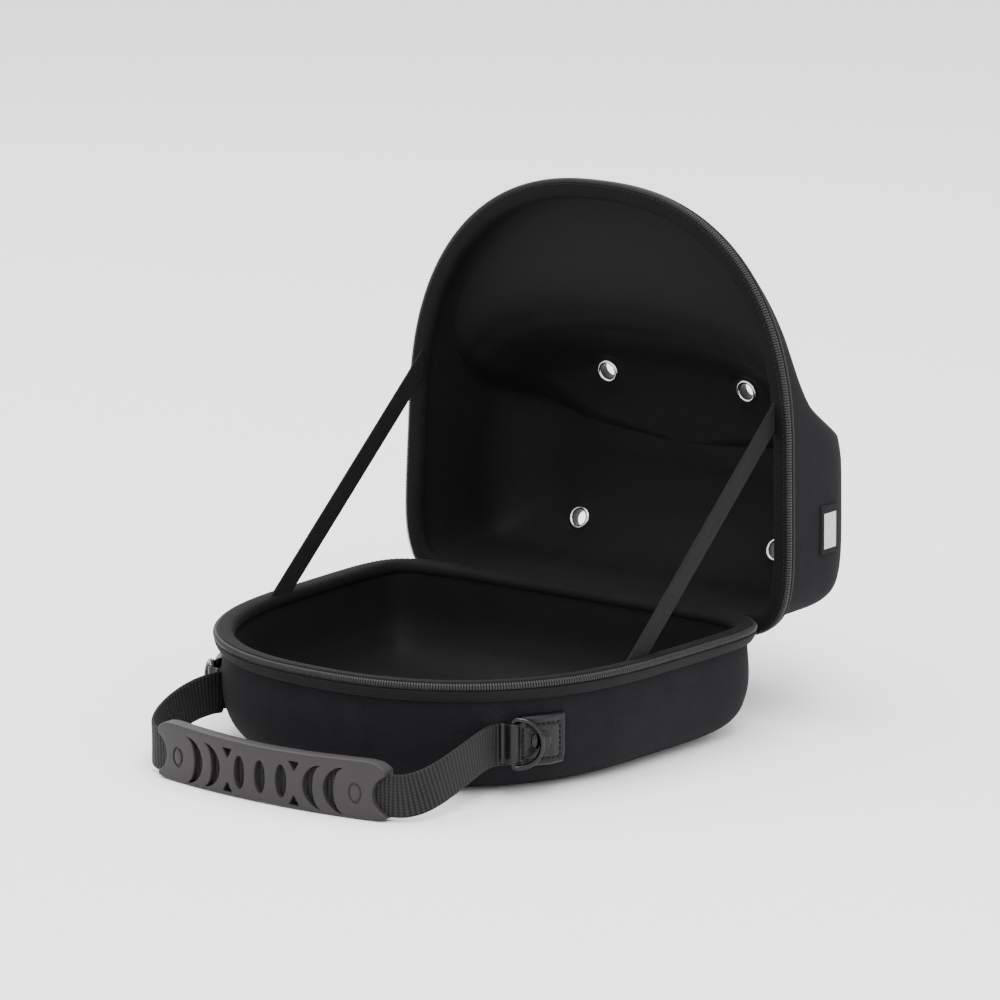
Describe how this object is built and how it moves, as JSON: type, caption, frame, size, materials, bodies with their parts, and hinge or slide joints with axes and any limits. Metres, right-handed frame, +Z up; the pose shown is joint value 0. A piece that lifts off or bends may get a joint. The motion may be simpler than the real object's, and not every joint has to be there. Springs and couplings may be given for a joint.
{
  "type": "cap carrier case",
  "caption": "Hard-shelled zip-round carrier case for a baseball cap, lid standing open on stay straps, with a pierced carrying grip on webbing and rings for a shoulder strap.",
  "frame": {"origin": "middle of the tray's flat underside", "axes": "+Z up; the case's front, with the handle, faces -Y, its hinge is at +Y, and +X is the right side seen from the front"},
  "size_m": [0.2553, 0.3672, 0.2759],
  "materials": {
    "shell": "matte knit cloth over moulded foam",
    "tape": "woven zipper tape",
    "teeth": "satin coil",
    "binding": "woven binding",
    "strap": "woven webbing",
    "leather": "glossy leatherette",
    "grip": "satin",
    "nickel": "polished nickel",
    "gunmetal": "polished gunmetal",
    "label": "woven patch, bare"
  },
  "bodies": {
    "case": {"base_shell": "shell", "lid_shell": "shell", "base_zipper_tape": "tape", "lid_zipper_tape": "tape", "base_zipper_teeth": "teeth", "lid_zipper_teeth": "teeth", "base_binding": "binding", "lid_binding": "binding", "hinge_gusset": "binding", "stay_strap_right": "strap", "stay_strap_left": "strap", "eyelet_front_right": "nickel", "eyelet_front_left": "nickel", "eyelet_rear_right": "nickel", "eyelet_rear_left": "nickel", "ring_patch_right": "leather", "ring_patch_left": "leather", "patch_rivet_right": "gunmetal", "patch_rivet_left": "gunmetal", "handle_webbing": "strap", "handle_grip": "grip", "label_patch": "label", "zipper_slider": "gunmetal"},
    "ring_right": {"d_ring_right": "gunmetal"},
    "ring_left": {"d_ring_left": "gunmetal"}
  },
  "joints": [
    {"name": "ring_right_swing", "type": "hinge", "parent": "case", "child": "ring_right", "pos_m": [0.09662, -0.07619, 0.0287], "axis": [0, 0, -1], "range_deg": [0, 100]},
    {"name": "ring_left_swing", "type": "hinge", "parent": "case", "child": "ring_left", "pos_m": [-0.09662, -0.07619, 0.0287], "axis": [0, 0, 1], "range_deg": [0, 100]}
  ]
}
